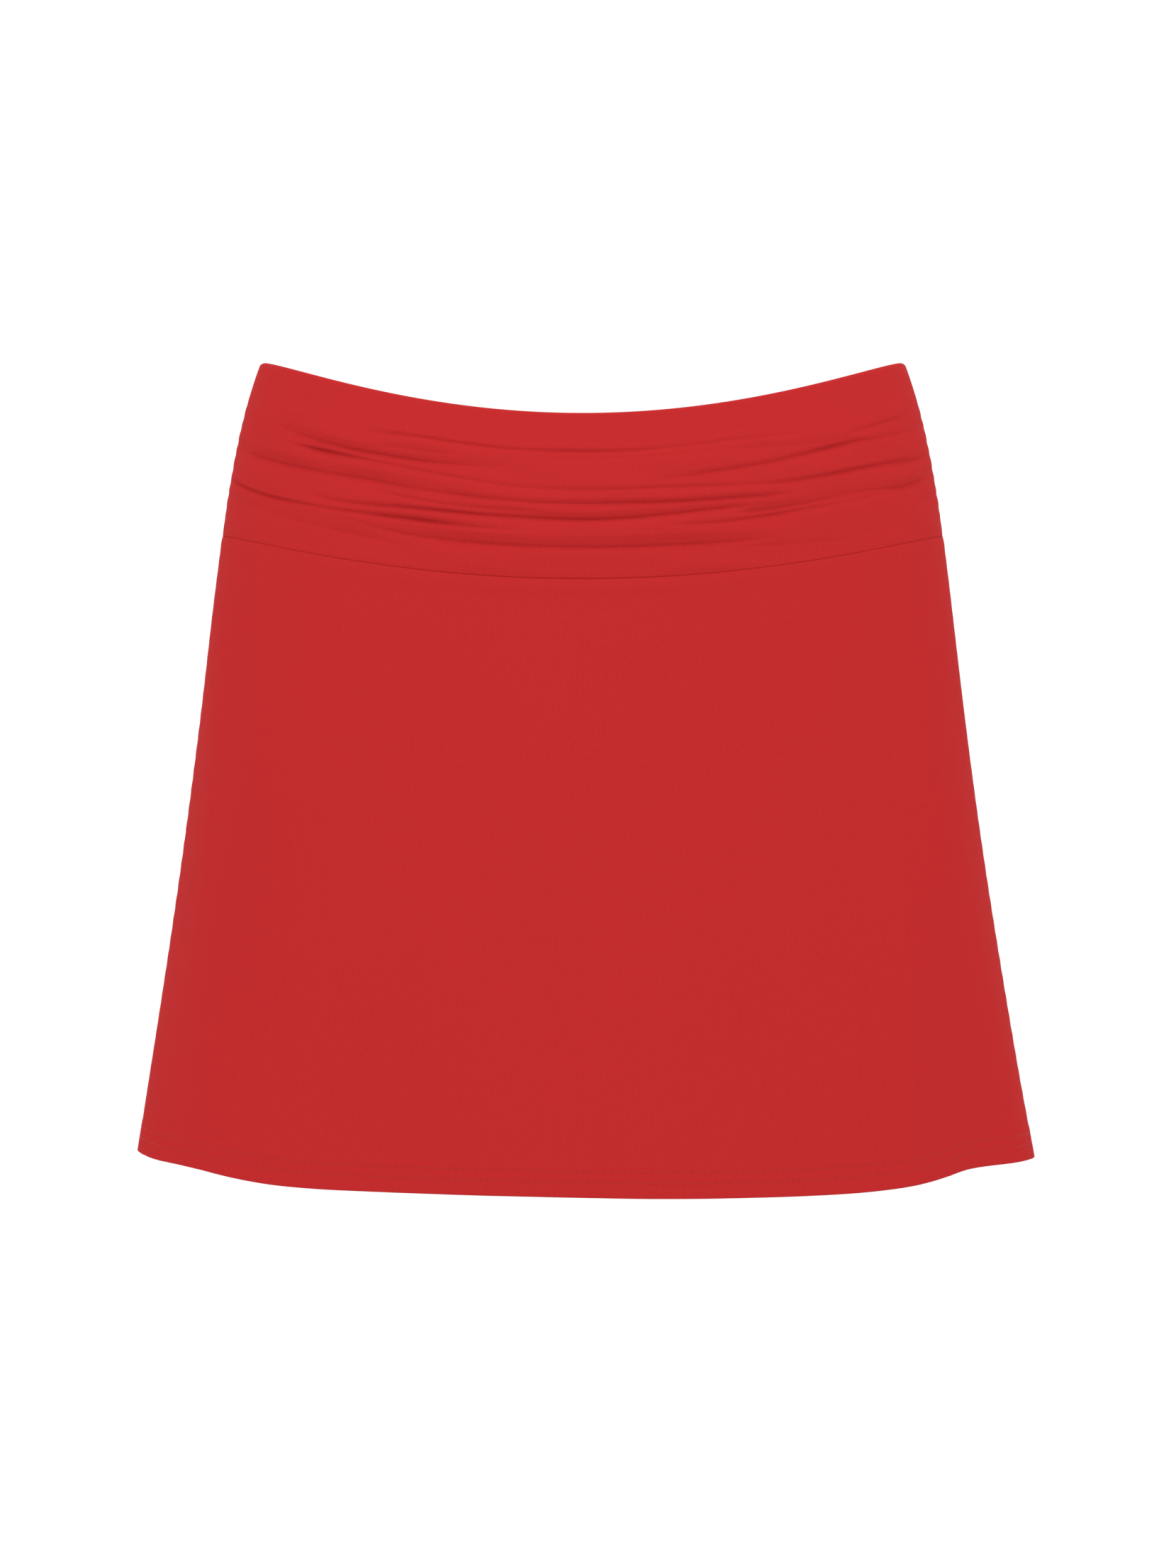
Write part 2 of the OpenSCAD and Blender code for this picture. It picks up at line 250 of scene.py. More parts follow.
def crease_depth(creases, turn, drop):
    """How far the creases pull the cloth in: it leans in above a crease and springs back below it."""
    total = 0
    for above, below, points in creases:
        line = curve_through([(t, d) for t, d, _ in points], turn)
        deep = curve_through([(t, k) for t, _, k in points], turn)
        deep = deep * ((turn >= points[0][0]) & (turn <= points[-1][0]))
        x = drop - line
        lean = np.clip(1 + x / above, 0, 1) ** LEAN_POWER
        spring = np.exp(-np.maximum(x, 0) / below)
        core = CORE_WEIGHT / above * bell(x, CORE_REACH)
        total = total + deep * (lean * spring + core)
    return total


def pinch_depth(turn, drop):
    """Short folds that fan out from the side seams, shallow on the seam itself."""
    total = 0
    for at in SIDE_SEAMS:
        away = np.abs(turn_between(turn, at)) * MM_PER_DEGREE
        for down, deep, reach, slant in SIDE_PINCHES:
            free = bell(away, reach) * (1 - PINCH_HELD * bell(away, PINCH_HELD_REACH))
            total = total + deep * free * bell(drop - down - slant * away, PINCH_HALF_HEIGHT)
    return total


def ripple(turn, drop, waves):
    """Gentle unevenness of cloth. A wave is (height, waves round the body, drop per wave, phase)."""
    return sum(
        high * np.sin(2 * np.pi * (count * turn / 360 + drop / per_drop) + phase)
        for high, count, per_drop, phase in waves
    )


BAND_RIPPLES = [(0.16, 8, 29, 0.4), (0.12, -12, 17, 2.1), (0.08, 19, -23, 4.0)]
SKIRT_RIPPLES = [(0.55, 9, 420, 0.7), (0.4, -16, 310, 2.9), (0.3, 6, -260, 5.1)]
LINING_RIPPLES = [(0.22, 7, 14, 0), (0.16, -10, 9, 1.7), (0.1, 21, 21, 3)]
HEM_RIPPLES = [(0.05, 92, 90, 0.3), (0.04, -133, 60, 1.9), (0.10, 37, 200, 4.4)]

# How far the band puffs out, how deep the side seams lie, and the puckers beside them
BAND_PUFF = 1.3
SEAM_DEPTH = 0.45
PUCKER_DEPTH, PUCKER_PITCH = 0.12, 9.0


def beside_seam(turn, reach):
    """1 on a side seam, falling to 0 a few reaches (in millimetres) to either side."""
    return sum(bell(turn_between(turn, at) * MM_PER_DEGREE, reach) for at in SIDE_SEAMS)


def seam_dip(turn, drop):
    """The shallow valley that the waist seam lies in, a little deeper near centre front."""
    deep = 0.2 + 0.25 * bell(turn_between(turn, 6), 26)
    return deep * bell(drop - BAND_H, 2.2)


def band_relief(turn, drop):
    """Outward shift of the waistband's cloth: it puffs out between elastic and seam, and creases."""
    loose = ramp(drop, ELASTIC_W + 1, ELASTIC_W + 7) * (1 - ramp(drop, BAND_H - 4, BAND_H - 0.5))
    puff = BAND_PUFF * ramp(drop, ELASTIC_W, ELASTIC_W + 12) * (1 - ramp(drop, BAND_H - 24, BAND_H - 1))
    puff = puff * np.abs(np.cos(np.radians(turn))) ** 0.7
    creases = crease_depth(FRONT_CREASES, turn, drop) + crease_depth(BACK_CREASES, turn % 360, drop)
    creases = creases + pinch_depth(turn, drop)
    waves = ripple(turn, drop, BAND_RIPPLES) * (1 - beside_seam(turn, 18))
    stitched_in = SEAM_DEPTH * beside_seam(turn, 1.0)
    return puff + loose * (waves - creases) - stitched_in - seam_dip(turn, drop)


def skirt_relief(turn, drop):
    """Outward shift of a skirt panel's cloth, with what its seams and its hem do to it."""
    hanging = ramp(drop, BAND_H + 6, BAND_H + 90)
    rim = BAND_H + ALLOWANCE
    over_allowance = 0.12 + 0.3 * bell(turn_between(turn, -2), 24)
    over_allowance = over_allowance * (1 - ramp(drop, rim - 2.5, rim + 2.5))
    low = ramp(drop, HEM_TOP - 30, HEM_TOP)
    rows = 0.02 * sum(bell(drop - row, 0.9) for row in HEM_ROWS)
    tunnel = 0.05 * bell(drop - HEM_ROW - STITCH_GAP / 2, 1.4)
    over_hem = 0.12 * ramp(drop, HEM_TOP - 2, HEM_TOP)
    stitched_in = SEAM_DEPTH * beside_seam(turn, 1.0) + 0.25 * beside_seam(turn, 4)
    pucker = PUCKER_DEPTH * beside_seam(turn, 7) * np.sin(2 * np.pi * drop / PUCKER_PITCH)
    return (
        hanging * ripple(turn, drop, SKIRT_RIPPLES) + low * ripple(turn, drop, HEM_RIPPLES)
        + over_allowance - seam_dip(turn, drop) - rows + tunnel + over_hem - stitched_in + pucker
    )


def lining_relief(turn, drop):
    """Outward shift of the lining, which creases a little below the elastic."""
    loose = ramp(drop, ELASTIC_W + 4, ELASTIC_W + 14) * (1 - ramp(drop, BAND_H - 12, BAND_H - 3))
    return loose * (ripple(turn, drop, LINING_RIPPLES) - 0.5)


# ---------------------------------------------------------------- mesh making


def new_object(name, verts, faces, uvs=None, smooth=True):
    """Mesh object from vertices in metres. uvs gives each vertex its place on the cloth, in metres."""
    mesh = bpy.data.meshes.new(name)
    mesh.from_pydata([tuple(v) for v in verts], [], [tuple(f) for f in faces])
    mesh.validate()
    if uvs is not None:
        layer = mesh.uv_layers.new(name="cloth")
        index = np.empty(len(mesh.loops), dtype=np.int64)
        mesh.loops.foreach_get("vertex_index", index)
        layer.data.foreach_set("uv", np.asarray(uvs, float)[index].ravel())
    if smooth:
        mesh.polygons.foreach_set("use_smooth", [True] * len(mesh.polygons))
    mesh.update()
    obj = bpy.data.objects.new(name, mesh)
    bpy.context.scene.collection.objects.link(obj)
    return obj


def grid_faces(columns, ring, closed):
    """Faces of a swept ring section. They face out if the section runs down the outer face first."""
    steps = columns if closed else columns - 1
    i, j = np.meshgrid(np.arange(steps), np.arange(ring), indexing="ij")
    after, beside = (i + 1) % columns, (j + 1) % ring
    quads = np.stack([i * ring + j, i * ring + beside, after * ring + beside, after * ring + j], -1)
    return quads.reshape(-1, 4)


def sides_of(line, thickness):
    """Both faces of a cloth whose middle follows line, a list of (drop, depth) points.
    The first face lies to the outside where the line runs down."""
    p = np.array(line, float)
    along = np.gradient(p, axis=0)
    along /= np.linalg.norm(along, axis=1, keepdims=True)
    inward = np.stack([-along[:, 1], along[:, 0]], -1)
    return p - inward * thickness / 2, p + inward * thickness / 2


def loft(name, points, uvs, closed=False):
    """Solid through ring sections: points is (columns, ring, 3), outer face first, then inner."""
    columns, ring = points.shape[:2]
    faces = [tuple(f) for f in grid_faces(columns, ring, closed)]
    if not closed:
        last = (columns - 1) * ring
        for j in range(ring // 2 - 1):
            cap = (j, ring - 1 - j, ring - 2 - j, j + 1)
            faces.append(cap)
            faces.append(tuple(last + k for k in reversed(cap)))
    return new_object(name, points.reshape(-1, 3), faces, uvs.reshape(-1, 2))


def lengths(points):
    """Distance along points from the first to each."""
    return np.concatenate([[0], np.cumsum(np.linalg.norm(np.diff(points, axis=0), axis=1))])


def sweep(name, line, thickness, turns, relief=None, closed=False):
    """Cloth or strip whose section follows line, carried round the body through turns."""
    outer, inner = sides_of(line, thickness)
    section = np.concatenate([outer, inner[::-1]])
    middle = np.concatenate([line, line[::-1]])
    t = np.asarray(turns, float)[:, None]
    shift = 0 if relief is None else relief(t, middle[None, :, 0])
    points = place(t, section[None, :, 0], section[None, :, 1] - shift)
    down = np.concatenate([lengths(np.array(line)), lengths(np.array(line))[::-1]]) * MM
    across = lengths(points[:, 0])
    uvs = np.stack(np.broadcast_arrays(across[:, None], down[None, :]), -1)
    return loft(name, points, uvs, closed)


def ribbon(name, path, thickness, drops, relief):
    """Ribbon whose plan follows path, a list of (turn, depth) points, hung between drops."""
    p = np.array(path, float)
    flat = p * [MM_PER_DEGREE, 1]
    sides = [side / [MM_PER_DEGREE, 1] for side in sides_of(flat, thickness)]
    section = np.concatenate([sides[0], sides[1][::-1]])[:, None]
    levels = np.asarray(drops, float)[None, ::-1]
    shift = relief(section[..., 0], levels)
    points = place(section[..., 0], levels, section[..., 1] - shift).transpose(1, 0, 2)
    along = np.concatenate([lengths(flat), lengths(flat)[::-1]]) * MM
    uvs = np.stack(np.broadcast_arrays(along[None, :], np.asarray(drops)[::-1, None] * MM), -1)
    return loft(name, points, uvs)


def tubes(name, lines, radius, sides=6):
    """Round threads of one radius in millimetres along each line of points in metres."""
    radius *= MM
    verts, faces, uvs = [], [], []
    angles = np.arange(sides) * 2 * np.pi / sides
    for line in lines:
        p = np.asarray(line, float)
        along = np.gradient(p, axis=0)
        along /= np.linalg.norm(along, axis=1, keepdims=True) + 1e-12
        side = np.cross(along, np.where(np.abs(along[:, 2:3]) > 0.9, [[1.0, 0, 0]], [[0, 0, 1.0]]))
        side /= np.linalg.norm(side, axis=1, keepdims=True)
        up = np.cross(along, side)
        ring = p[:, None] + radius * (
            np.cos(angles)[None, :, None] * side[:, None] + np.sin(angles)[None, :, None] * up[:, None]
        )
        base = len(verts)
        verts.extend(ring.reshape(-1, 3))
        uvs.extend((run, a * radius) for run in lengths(p) for a in angles)
        faces.extend(tuple(q) for q in grid_faces(len(p), sides, False) + base)
        faces.append(tuple(range(base + sides - 1, base - 1, -1)))
        last = base + (len(p) - 1) * sides
        faces.append(tuple(range(last, last + sides)))
    return new_object(name, verts, faces, uvs)


def even(start, stop, step):
    """Values from start to stop, about step apart."""
    return np.linspace(start, stop, max(2, int(round(abs(stop - start) / step)) + 1))


def panel_turns(start, stop, step):
    """Turns of a panel from one side seam to the other, closer together beside the seams."""
    near = np.array([0, 0.15, 0.35, 0.6, 0.9, 1.3, 1.8, 2.4])
    middle = even(start + 3, stop - 3, step)
    return np.concatenate([start + near, middle, (stop - near)[::-1]])


def arc(centre_drop, centre_depth, radius, start, stop, steps=6):
    """Points of an arc in the section; 0 degrees points down and 90 inwards."""
    angles = np.radians(np.linspace(start, stop, steps))
    return [(centre_drop + radius * math.cos(a), centre_depth + radius * math.sin(a)) for a in angles]


def turns_along(drop, start, stop, pitch):
    """Turns about pitch millimetres apart along the body at one drop."""
    t = np.linspace(start, stop, 2881)
    run = lengths(place(t, drop, 0)) / MM
    return np.interp(np.linspace(0, run[-1], max(2, int(round(run[-1] / pitch)) + 1)), run, t)


# ---------------------------------------------------------------- materials


# Colour sockets of the Mix node
MIX_A, MIX_B, MIX_RESULT = 6, 7, 2


class Nodes:
    """Short way to write a shader's nodes."""

    def __init__(self, material):
        material.use_nodes = True
        self.tree = material.node_tree
        self.tree.nodes.clear()
        self.out = self.tree.nodes.new("ShaderNodeOutputMaterial")
        self.shader = self.add("BsdfPrincipled")
        self.link(self.shader.outputs[0], self.out.inputs[0])

    def add(self, kind, **settings):
        node = self.tree.nodes.new("ShaderNode" + kind)
        for key, value in settings.items():
            setattr(node, key, value)
        return node

    def link(self, source, target):
        self.tree.links.new(source, target)

    def put(self, socket, value):
        """Links the socket if value is an output, else sets it."""
        if isinstance(value, bpy.types.NodeSocket):
            self.link(value, socket)
        else:
            socket.default_value = value

    def math(self, operation, *values):
        """Output of a Math node."""
        node = self.add("Math", operation=operation)
        for socket, value in zip(node.inputs, values):
            self.put(socket, value)
        return node.outputs[0]

    def noise(self, scale, detail=2.0, vector=None):
        """Noise from 0 to 1 with scale features to the metre."""
        node = self.add("TexNoise")
        node.inputs["Scale"].default_value = scale
        node.inputs["Detail"].default_value = detail
        self.link(vector or self.add("TexCoord").outputs["Object"], node.inputs["Vector"])
        return node.outputs["Fac"]

    def cloth(self):
        """Place on the cloth, in metres across and down."""
        split = self.add("SeparateXYZ")
        self.link(self.add("UVMap", uv_map="cloth").outputs[0], split.inputs[0])
        return split.outputs[0], split.outputs[1]

    def wave(self, value, pitch, phase=0.0):
        """Sine from -1 to 1 that repeats every pitch metres of value."""
        turns = self.math("MULTIPLY_ADD", value, 2 * math.pi / pitch, phase)
        return self.math("SINE", turns)

    def shade(self, color, amount):
        """Colour made lighter or darker by amount, a value round 0."""
        node = self.add("Mix", data_type="RGBA", blend_type="MULTIPLY")
        node.inputs["Factor"].default_value = 1.0
        node.inputs[MIX_A].default_value = (*color, 1)
        grey = self.add("CombineColor")
        level = self.math("ADD", amount, 1.0)
        for socket in grey.inputs:
            self.link(level, socket)
        self.link(grey.outputs[0], node.inputs[MIX_B])
        return node.outputs[MIX_RESULT]

    def bump(self, height, distance_mm, strength=1.0, below=None):
        """Normal of a relief of height 0 to 1, on top of another bump if below is given."""
        node = self.add("Bump")
        node.inputs["Strength"].default_value = strength
        node.inputs["Distance"].default_value = distance_mm * MM
        self.put(node.inputs["Height"], height)
        if below is not None:
            self.link(below, node.inputs["Normal"])
        return node.outputs[0]

    def sets(self, **values):
        """Sets or links the shader's sockets, named with _ for a space."""
        for name, value in values.items():
            self.put(self.shader.inputs[name.replace("_", " ")], value)


def sum_of(nodes, *parts):
    """Sum of (value, weight) pairs as one output."""
    total = 0.0
    for value, weight in parts:
        total = nodes.math("MULTIPLY_ADD", value, weight, total)
    return total


def knit(name, color, wale, course, loft_mm, fuzz_mm, roughness):
    """Fine stretch knit: columns of V stitches, with a soft mottle and a few looser threads.
    wale and course are the width and height of a stitch in metres."""
    material = bpy.data.materials.new(name)
    n = Nodes(material)
    across, down = n.cloth()
    column = n.math("ABSOLUTE", n.wave(across, 2 * wale))
    leg = n.math("PINGPONG", across, wale / 2)
    slanted = n.math("MULTIPLY_ADD", leg, -1.1, down)
    row = n.wave(slanted, course)
    stitches = sum_of(n, (column, 0.55), (row, 0.25), (0.25, 1.0))
    mottle = n.noise(420, 3)
    broad = n.noise(9, 2)
    strands = n.wave(n.math("MULTIPLY_ADD", n.noise(60, 1), 0.004, across), 0.0021)
    tone = sum_of(n, (stitches, 0.11), (mottle, 0.06), (broad, 0.03), (strands, 0.008), (-0.11, 1.0))
    n.sets(Base_Color=n.shade(color, tone))
    n.sets(Roughness=sum_of(n, (mottle, 0.12), (stitches, -0.05), (roughness, 1.0)))
    fine = n.bump(stitches, loft_mm, 0.7)
    n.sets(Normal=n.bump(mottle, fuzz_mm, 0.5, below=fine))
    n.sets(Specular_IOR_Level=0.02)
    return material


def twisted_thread(name, color):
    """Spun thread: two plies that wind round each other along its length."""
    material = bpy.data.materials.new(name)
    n = Nodes(material)
    along, around = n.cloth()
    ply = n.wave(n.math("MULTIPLY_ADD", around, 1.4, along), 0.0006)
    fibres = n.noise(2500, 2)
    n.sets(Base_Color=n.shade(color, sum_of(n, (ply, 0.08), (fibres, 0.12), (-0.06, 1.0))))
    n.sets(Roughness=sum_of(n, (fibres, 0.2), (0.45, 1.0)))
    n.sets(Normal=n.bump(sum_of(n, (ply, 0.5), (fibres, 0.5)), 0.06, 0.6))
    n.sets(Specular_IOR_Level=0.25)
    return material


def ribbed_elastic(name):
    """Woven elastic: rubber cords that run along it, bound by fine cross threads."""
    material = bpy.data.materials.new(name)
    n = Nodes(material)
    along, down = n.cloth()
    cords = n.math("ABSOLUTE", n.wave(down, 0.0022))
    binding = n.wave(n.math("MULTIPLY_ADD", down, 0.4, along), 0.0007)
    dust = n.noise(300, 2)
    tone = sum_of(n, (cords, 0.1), (binding, 0.05), (dust, 0.06), (-0.12, 1.0))
    n.sets(Base_Color=n.shade((0.84, 0.83, 0.79), tone))
    n.sets(Roughness=sum_of(n, (dust, 0.15), (0.6, 1.0)))
    n.sets(Normal=n.bump(sum_of(n, (cords, 0.7), (binding, 0.3)), 0.15, 0.7))
    n.sets(Specular_IOR_Level=0.3)
    return material


def clear_tape(name):
    """Milky clear elastic tape with fine stretch lines along it."""
    material = bpy.data.materials.new(name)
    n = Nodes(material)
    across, down = n.cloth()
    lines = n.wave(n.math("MULTIPLY_ADD", n.noise(200, 1), 0.001, across), 0.0006)
    cloudy = n.noise(160, 2)
    tone = sum_of(n, (cloudy, 0.1), (lines, 0.03), (-0.05, 1.0))
    n.sets(Base_Color=n.shade((0.8, 0.82, 0.83), tone))
    n.sets(Roughness=sum_of(n, (cloudy, 0.2), (0.25, 1.0)))
    n.sets(Normal=n.bump(lines, 0.03, 0.5))
    n.sets(Alpha=0.6)
    return material


def label_satin(name):
    """Blank satin ribbon with a fine diagonal weave and woven edges."""
    material = bpy.data.materials.new(name)
    n = Nodes(material)
    across, down = n.cloth()
    twill = n.wave(n.math("MULTIPLY_ADD", down, 2.2, across), 0.00045)
    cross = n.wave(down, 0.0003)
    slubs = n.noise(700, 3)
    tone = sum_of(n, (twill, 0.02), (slubs, 0.07), (-0.05, 1.0))
    n.sets(Base_Color=n.shade((0.88, 0.88, 0.86), tone))
    n.sets(Roughness=sum_of(n, (slubs, 0.15), (0.3, 1.0)))
    n.sets(Normal=n.bump(sum_of(n, (twill, 0.6), (cross, 0.4)), 0.03, 0.5))
    n.sets(Specular_IOR_Level=0.5)
    return material


OUTER_RED = (0.420, 0.0188, 0.0198)
LINING_RED = (0.38, 0.0160, 0.0175)
# Thread red is a little lighter than the cloth's red: painted light that evens out the shade in the
# stitch rows
THREAD_RED_PAINTED_LIGHTER = (0.44, 0.0195, 0.0205)
OUTER_KNIT = knit("outer_knit", OUTER_RED, wale=0.00052, course=0.00046,
                  loft_mm=0.09, fuzz_mm=0.08, roughness=0.74)
LINING_KNIT = knit("lining_knit", LINING_RED, wale=0.0007, course=0.0006,
                   loft_mm=0.1, fuzz_mm=0.08, roughness=0.58)
THREAD = twisted_thread("thread", THREAD_RED_PAINTED_LIGHTER)
ELASTIC = ribbed_elastic("woven_elastic")
TAPE = clear_tape("clear_tape")
SATIN = label_satin("label_satin")
SLOTS = {"outer_knit": OUTER_KNIT, "lining_knit": LINING_KNIT, "thread": THREAD,
         "woven_elastic": ELASTIC, "clear_tape": TAPE, "label_satin": SATIN}


def dress(piece, slot, *nodes):
    """Gives a piece the material of its slot and its body, and hides the CAD nodes that it stands for.
    """
    piece.data.materials.append(SLOTS[slot])
    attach(piece, "root")
    if nodes:
        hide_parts(*nodes)


# ---------------------------------------------------------------- skirt panels and waistband

LEFT, RIGHT = 90, 270

# The lining starts this far down, under the rolled edge of the outer band
LINING_TOP = 1.47


def skirt_panel(name, start, stop):
    """Skirt panel with its rounded top edge at the waist seam and its hem turned up inside."""
    fold = (KNIT_T + PLY_GAP) / 2
    fold_at = SKIRT_L - KNIT_T / 2 - fold
    behind = KNIT_T / 2 + 2 * fold
    line = [(BAND_H + 0.04, 0.45), (BAND_H + 0.6, 0.41)]
    line += [(d, KNIT_T / 2) for d in even(BAND_H + 1.5, BAND_H + 10, 1.0)]
    line += [(d, KNIT_T / 2) for d in even(BAND_H + 12, SKIRT_L - 32, 2.4)]
    line += [(d, KNIT_T / 2) for d in even(SKIRT_L - 31, fold_at - 0.4, 0.8)]
    line += arc(fold_at, KNIT_T / 2 + fold, fold, 270, 450, 7)
    line += [(d, behind) for d in even(fold_at - 0.8, HEM_TOP, 1.1)]
    piece = sweep(name + "_cloth", line, KNIT_T, panel_turns(start, stop, 0.8), skirt_relief)
    dress(piece, "outer_knit", name)


def waistband(name, start, stop):
    """Outer band: rolls over the elastic, creases between the side seams, ends in its allowance."""
    roll = INSIDE_AT / 2
    line = arc(roll, roll, roll - KNIT_T / 2, 90, 270, 9)
    line += [(d, KNIT_T / 2) for d in even(roll + 0.6, ELASTIC_W + 2, 0.9)]
    line += [(d, KNIT_T / 2) for d in even(ELASTIC_W + 2.5, BAND_H - 8, 0.5)]
    line += [(d, KNIT_T / 2) for d in even(BAND_H - 7.2, BAND_H - 0.8, 0.8)]
    line += [(BAND_H - 0.3, 0.43), (BAND_H - 0.08, 0.6), (BAND_H + 0.03, 0.95), (BAND_H + 0.5, 1.3)]
    line += [(d, KNIT_T * 1.5 + PLY_GAP) for d in even(BAND_H + 1.4, BAND_H + ALLOWANCE, 1.5)]
    piece = sweep(name + "_cloth", line, KNIT_T, panel_turns(start, stop, 1.0), band_relief)
    dress(piece, "outer_knit", name)


def waistband_lining(name, start, stop):
    """Smoother inner band, from under the rolled top edge to the end of the allowance."""
    middle = LINING_AT + LINING_T / 2
    line = [(d, middle) for d in even(LINING_TOP, BAND_H + ALLOWANCE, 2.0)]
    piece = sweep(name + "_cloth", line, LINING_T, panel_turns(start, stop, 1.2), lining_relief)
    dress(piece, "lining_knit", name)


skirt_panel("front_skirt_panel", RIGHT - 360, LEFT)
skirt_panel("back_skirt_panel", LEFT, RIGHT)
waistband("front_waistband", RIGHT - 360, LEFT)
waistband("back_waistband", LEFT, RIGHT)
waistband_lining("front_waistband_lining", RIGHT - 360, LEFT)
waistband_lining("back_waistband_lining", LEFT, RIGHT)

# ---------------------------------------------------------------- elastic and tapes

# Turns of a closed loop, the drop of the elastic's top edge, and the tape's thickness in
# millimetres and half-width in degrees
ROUND = np.linspace(0, 360, 360, endpoint=False)
ELASTIC_TOP = 1.5
TAPE_T, TAPE_HALF_WIDTH = 0.3, 1.6


def elastic_loop():
    """Woven elastic inside the top edge, all the way round."""
    middle = ELASTIC_AT + ELASTIC_T / 2
    line = [(d, middle) for d in even(ELASTIC_TOP, ELASTIC_TOP + ELASTIC_W, 1.0)]
    loop = sweep("waist_elastic_loop", line, ELASTIC_T, ROUND, closed=True)
    dress(loop, "woven_elastic", "waist_elastic")


def ruching_tape(side_name, turn):
    """Clear elastic tape down a side seam of the band, which gathers it."""
    name = side_name + "_ruching_tape"
    line = [(d, ELASTIC_AT + TAPE_T / 2) for d in even(ELASTIC_W + 3, BAND_H - 2, 1.5)]
    turns = even(turn - TAPE_HALF_WIDTH, turn + TAPE_HALF_WIDTH, 0.4)
    tape = sweep(name + "_strip", line, TAPE_T, turns)
    dress(tape, "clear_tape", name)


elastic_loop()
ruching_tape("left", LEFT)
ruching_tape("right", RIGHT)

# ---------------------------------------------------------------- threads

# Radii of the threads, the air between a thread and the cloth, and lengths of a stitch
THREAD_R = 0.15
ZIGZAG_R, NEEDLE_R, LABEL_THREAD_R = 0.1, 0.14, 0.1
THREAD_AIR = 0.1
ZIGZAG_PITCH, HEM_PITCH, OVERLOCK_PITCH, BAND_OVERLOCK_PITCH = 3.0, 3.0, 2.6, 2.4

# The skirt's side seam allowances: how thick their pressed cloth is, how deep the middle of each
# ply lies, and how far from the seam they start
PRESSED_T = 0.72
BACK_PLY_AT, FRONT_PLY_AT = 1.35, 2.15
SEAM_GAP = 0.4


def around(turns, pattern, relief=None):
    """Thread along the body: pattern is (share of a stitch, drop, depth), repeated at each turn."""
    steps = []
    for a, b in zip(turns[:-1], turns[1:]):
        steps += [(a + (b - a) * share, drop, depth) for share, drop, depth in pattern]
    t, drop, depth = np.array(steps).T
    shift = 0 if relief is None else relief(t, drop)
    return place(t, drop, depth - shift)


def down_seam(drops, turn, pattern, relief=None):
    """Thread down a seam: pattern is (share of a stitch, millimetres from the seam, depth)."""
    steps = []
    for a, b in zip(drops[:-1], drops[1:]):
        for share, x, depth in pattern:
            steps.append((turn + x / MM_PER_DEGREE, a + (b - a) * share, depth))
    t, drop, depth = np.array(steps).T
    shift = 0 if relief is None else relief(t, drop)
    return place(t, drop, depth - shift)


def overlock_pattern(near, far, top, wrap):
    """One stitch of a three-thread overlock, from its needle line over the raw edge and back."""
    mid = (near + far) / 2
    return [(0.0, near, top), (0.2, mid, top - 0.04), (0.42, far, top),
            (0.5, far + wrap, top - 0.5), (0.58, far, top), (0.8, mid, top + 0.1)]


def elastic_zigzag():
    """Zigzag that holds the elastic, between it and the lining."""
    turns = turns_along(8, 0, 360, ZIGZAG_PITCH)
    top, low = ELASTIC_W / 2, ELASTIC_W / 2 + 3
    mid = STITCHING_AT + ZIGZAG_R
    line = around(turns, [(0.0, top, mid), (0.5, low, mid)])
    dress(tubes("elastic_stitching_thread", [line], ZIGZAG_R, 4), "thread", "elastic_stitching")


def waist_overlock():
    """Overlock over the joined allowances of the waist seam."""
    turns = turns_along(BAND_H, 0, 360, OVERLOCK_PITCH)
    top = INSIDE_AT + THREAD_AIR + THREAD_R
    row, rim = BAND_H + 1.2, BAND_H + ALLOWANCE
    loops = around(turns, overlock_pattern(BAND_H + 1.4, rim + 0.2, top, 0.4))
    needle = around(turns, [(0.0, row, top), (0.5, row, top + 0.12)])
    edge = around(turns, [(0.0, rim + 0.3, top), (0.5, rim + 0.1, top + 0.1)])
    thread = tubes("waist_seam_overlock_thread", [loops, needle, edge], THREAD_R, 5)
    dress(thread, "thread", "waist_seam_overlock")


def seam_overlock(name, turn, toward, drops, near, far, row, top, wrap, relief=None):
    """Overlock down a side seam. near, far and row are how far its inner edge, its outer edge and
    its needle row lie from the seam, toward (1 or -1) the greater or the smaller turns."""
    pattern = overlock_pattern(near, far, top, wrap)
    stitch = [(share, toward * x, depth) for share, x, depth in pattern]
    loops = down_seam(drops, turn, stitch, relief)
    line = toward * row
    needle = down_seam(drops, turn, [(0.0, line, top), (0.5, line, top + 0.1)], relief)
    dress(tubes(name + "_thread", [loops, needle], THREAD_R, 5), "thread", name)


def side_overlock(side_name, turn, toward):
    """Skirt side seam inside: both allowances pressed to the back, and their overlock."""
    first, last = BAND_H + ALLOWANCE + 2, HEM_TOP - 1
    ends = sorted(turn + toward * x / MM_PER_DEGREE for x in (SEAM_GAP, ALLOWANCE))
    for ply, depth in (("front", FRONT_PLY_AT), ("back", BACK_PLY_AT)):
        line = [(d, depth) for d in even(first, last, 3.0)]
        name = f"{side_name}_side_allowance_{ply}"
        cloth = sweep(name, line, PRESSED_T, even(*ends, 0.4), skirt_relief)
        dress(cloth, "outer_knit")
    drops = even(first, last, OVERLOCK_PITCH)
    top = FRONT_PLY_AT + PRESSED_T / 2 + THREAD_R
    name = side_name + "_side_overlock"
    seam_overlock(name, turn, toward, drops, 1.6, ALLOWANCE, 1.5, top, 0.3, skirt_relief)


def band_overlock(side_name, turn, toward):
    """Band side seam between the two layers."""
    name = side_name + "_waistband_overlock"
    drops = even(ELASTIC_W + 3, BAND_H - 2, BAND_OVERLOCK_PITCH)
    seam_overlock(name, turn, toward, drops, -2.4, 2.8, -2.4, ELASTIC_AT + 0.7, 0.2)


